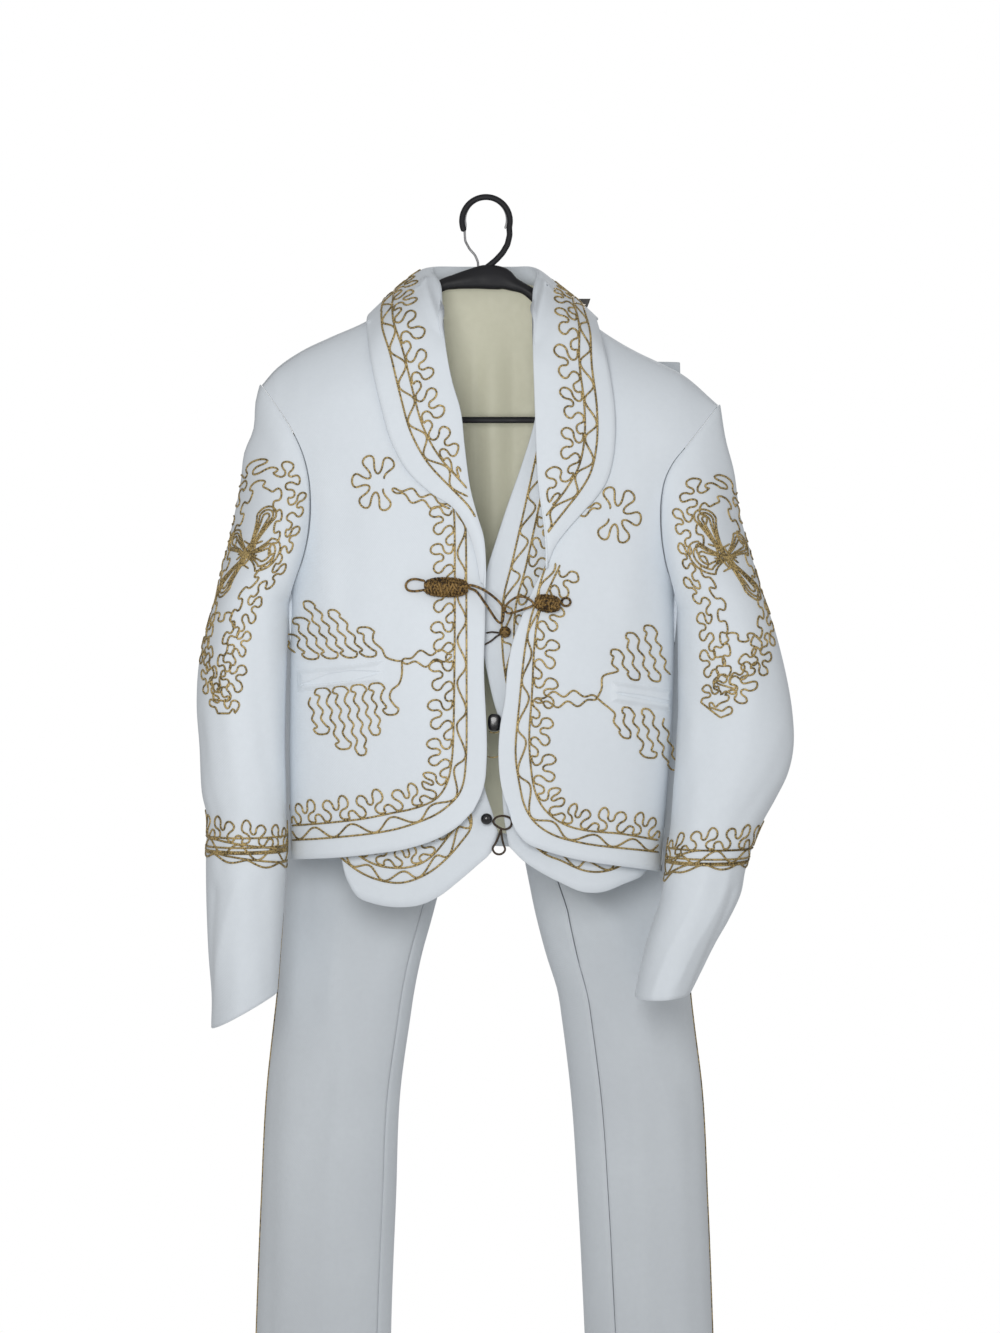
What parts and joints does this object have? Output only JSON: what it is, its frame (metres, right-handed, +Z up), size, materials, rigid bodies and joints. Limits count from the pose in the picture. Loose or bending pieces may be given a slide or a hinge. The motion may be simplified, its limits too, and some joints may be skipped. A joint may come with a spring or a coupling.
{
  "type": "charro suit on garment hangers",
  "caption": "Short embroidered jacket with shawl collar, vest and long trousers, hung on a moulded hanger and a clip hanger that share one rod",
  "frame": {"origin": "inner crown of the moulded hanger's hook, where it rests on a rod", "axes": "+Z up, the front of the suit faces -Y, the rod runs along Y, +X to the viewer's right"},
  "size_m": [0.5934, 0.2213, 1.2394],
  "materials": {
    "clip_hanger_bar": "polished",
    "clip_hanger_hook": "polished",
    "clip_left": "satin",
    "clip_right": "satin",
    "frog_barrel_left": "metallic braid",
    "frog_barrel_right": "metallic braid",
    "frog_link_left": "metallic braid",
    "frog_link_right": "metallic braid",
    "frog_tail_left": "metallic braid",
    "frog_tail_right": "metallic braid",
    "hanger_body": "moulded",
    "hanger_hook": "moulded",
    "jacket_back": "matt twill",
    "jacket_collar": "matt twill",
    "jacket_front_left": "matt twill",
    "jacket_front_right": "matt twill",
    "jacket_pocket_welt_left": "matt twill",
    "jacket_pocket_welt_right": "matt twill",
    "jacket_sleeve_left": "matt twill",
    "jacket_sleeve_right": "matt twill",
    "trousers_back_left": "matt twill",
    "trousers_back_right": "matt twill",
    "trousers_front_left": "matt twill",
    "trousers_front_right": "matt twill",
    "trousers_waistband": "matt twill",
    "vest_back": "satin",
    "vest_button": "gloss",
    "vest_button_loop": "cord",
    "vest_clasp": "gloss",
    "vest_front_left": "matt twill",
    "vest_front_right": "matt twill",
    "vest_knot": "cord"
  },
  "bodies": {
    "root": {"clip_hanger_bar": "clip_hanger_bar", "clip_hanger_hook": "clip_hanger_hook", "clip_left": "clip_left", "clip_right": "clip_right", "frog_barrel_left": "frog_barrel_left", "frog_barrel_right": "frog_barrel_right", "frog_link_left": "frog_link_left", "frog_link_right": "frog_link_right", "frog_tail_left": "frog_tail_left", "frog_tail_right": "frog_tail_right", "hanger_body": "hanger_body", "hanger_hook": "hanger_hook", "jacket_back": "jacket_back", "jacket_collar": "jacket_collar", "jacket_front_left": "jacket_front_left", "jacket_front_right": "jacket_front_right", "jacket_pocket_welt_left": "jacket_pocket_welt_left", "jacket_pocket_welt_right": "jacket_pocket_welt_right", "jacket_sleeve_left": "jacket_sleeve_left", "jacket_sleeve_right": "jacket_sleeve_right", "trousers_back_left": "trousers_back_left", "trousers_back_right": "trousers_back_right", "trousers_front_left": "trousers_front_left", "trousers_front_right": "trousers_front_right", "trousers_waistband": "trousers_waistband", "vest_back": "vest_back", "vest_button": "vest_button", "vest_button_loop": "vest_button_loop", "vest_clasp": "vest_clasp", "vest_front_left": "vest_front_left", "vest_front_right": "vest_front_right", "vest_knot": "vest_knot"}
  },
  "joints": []
}
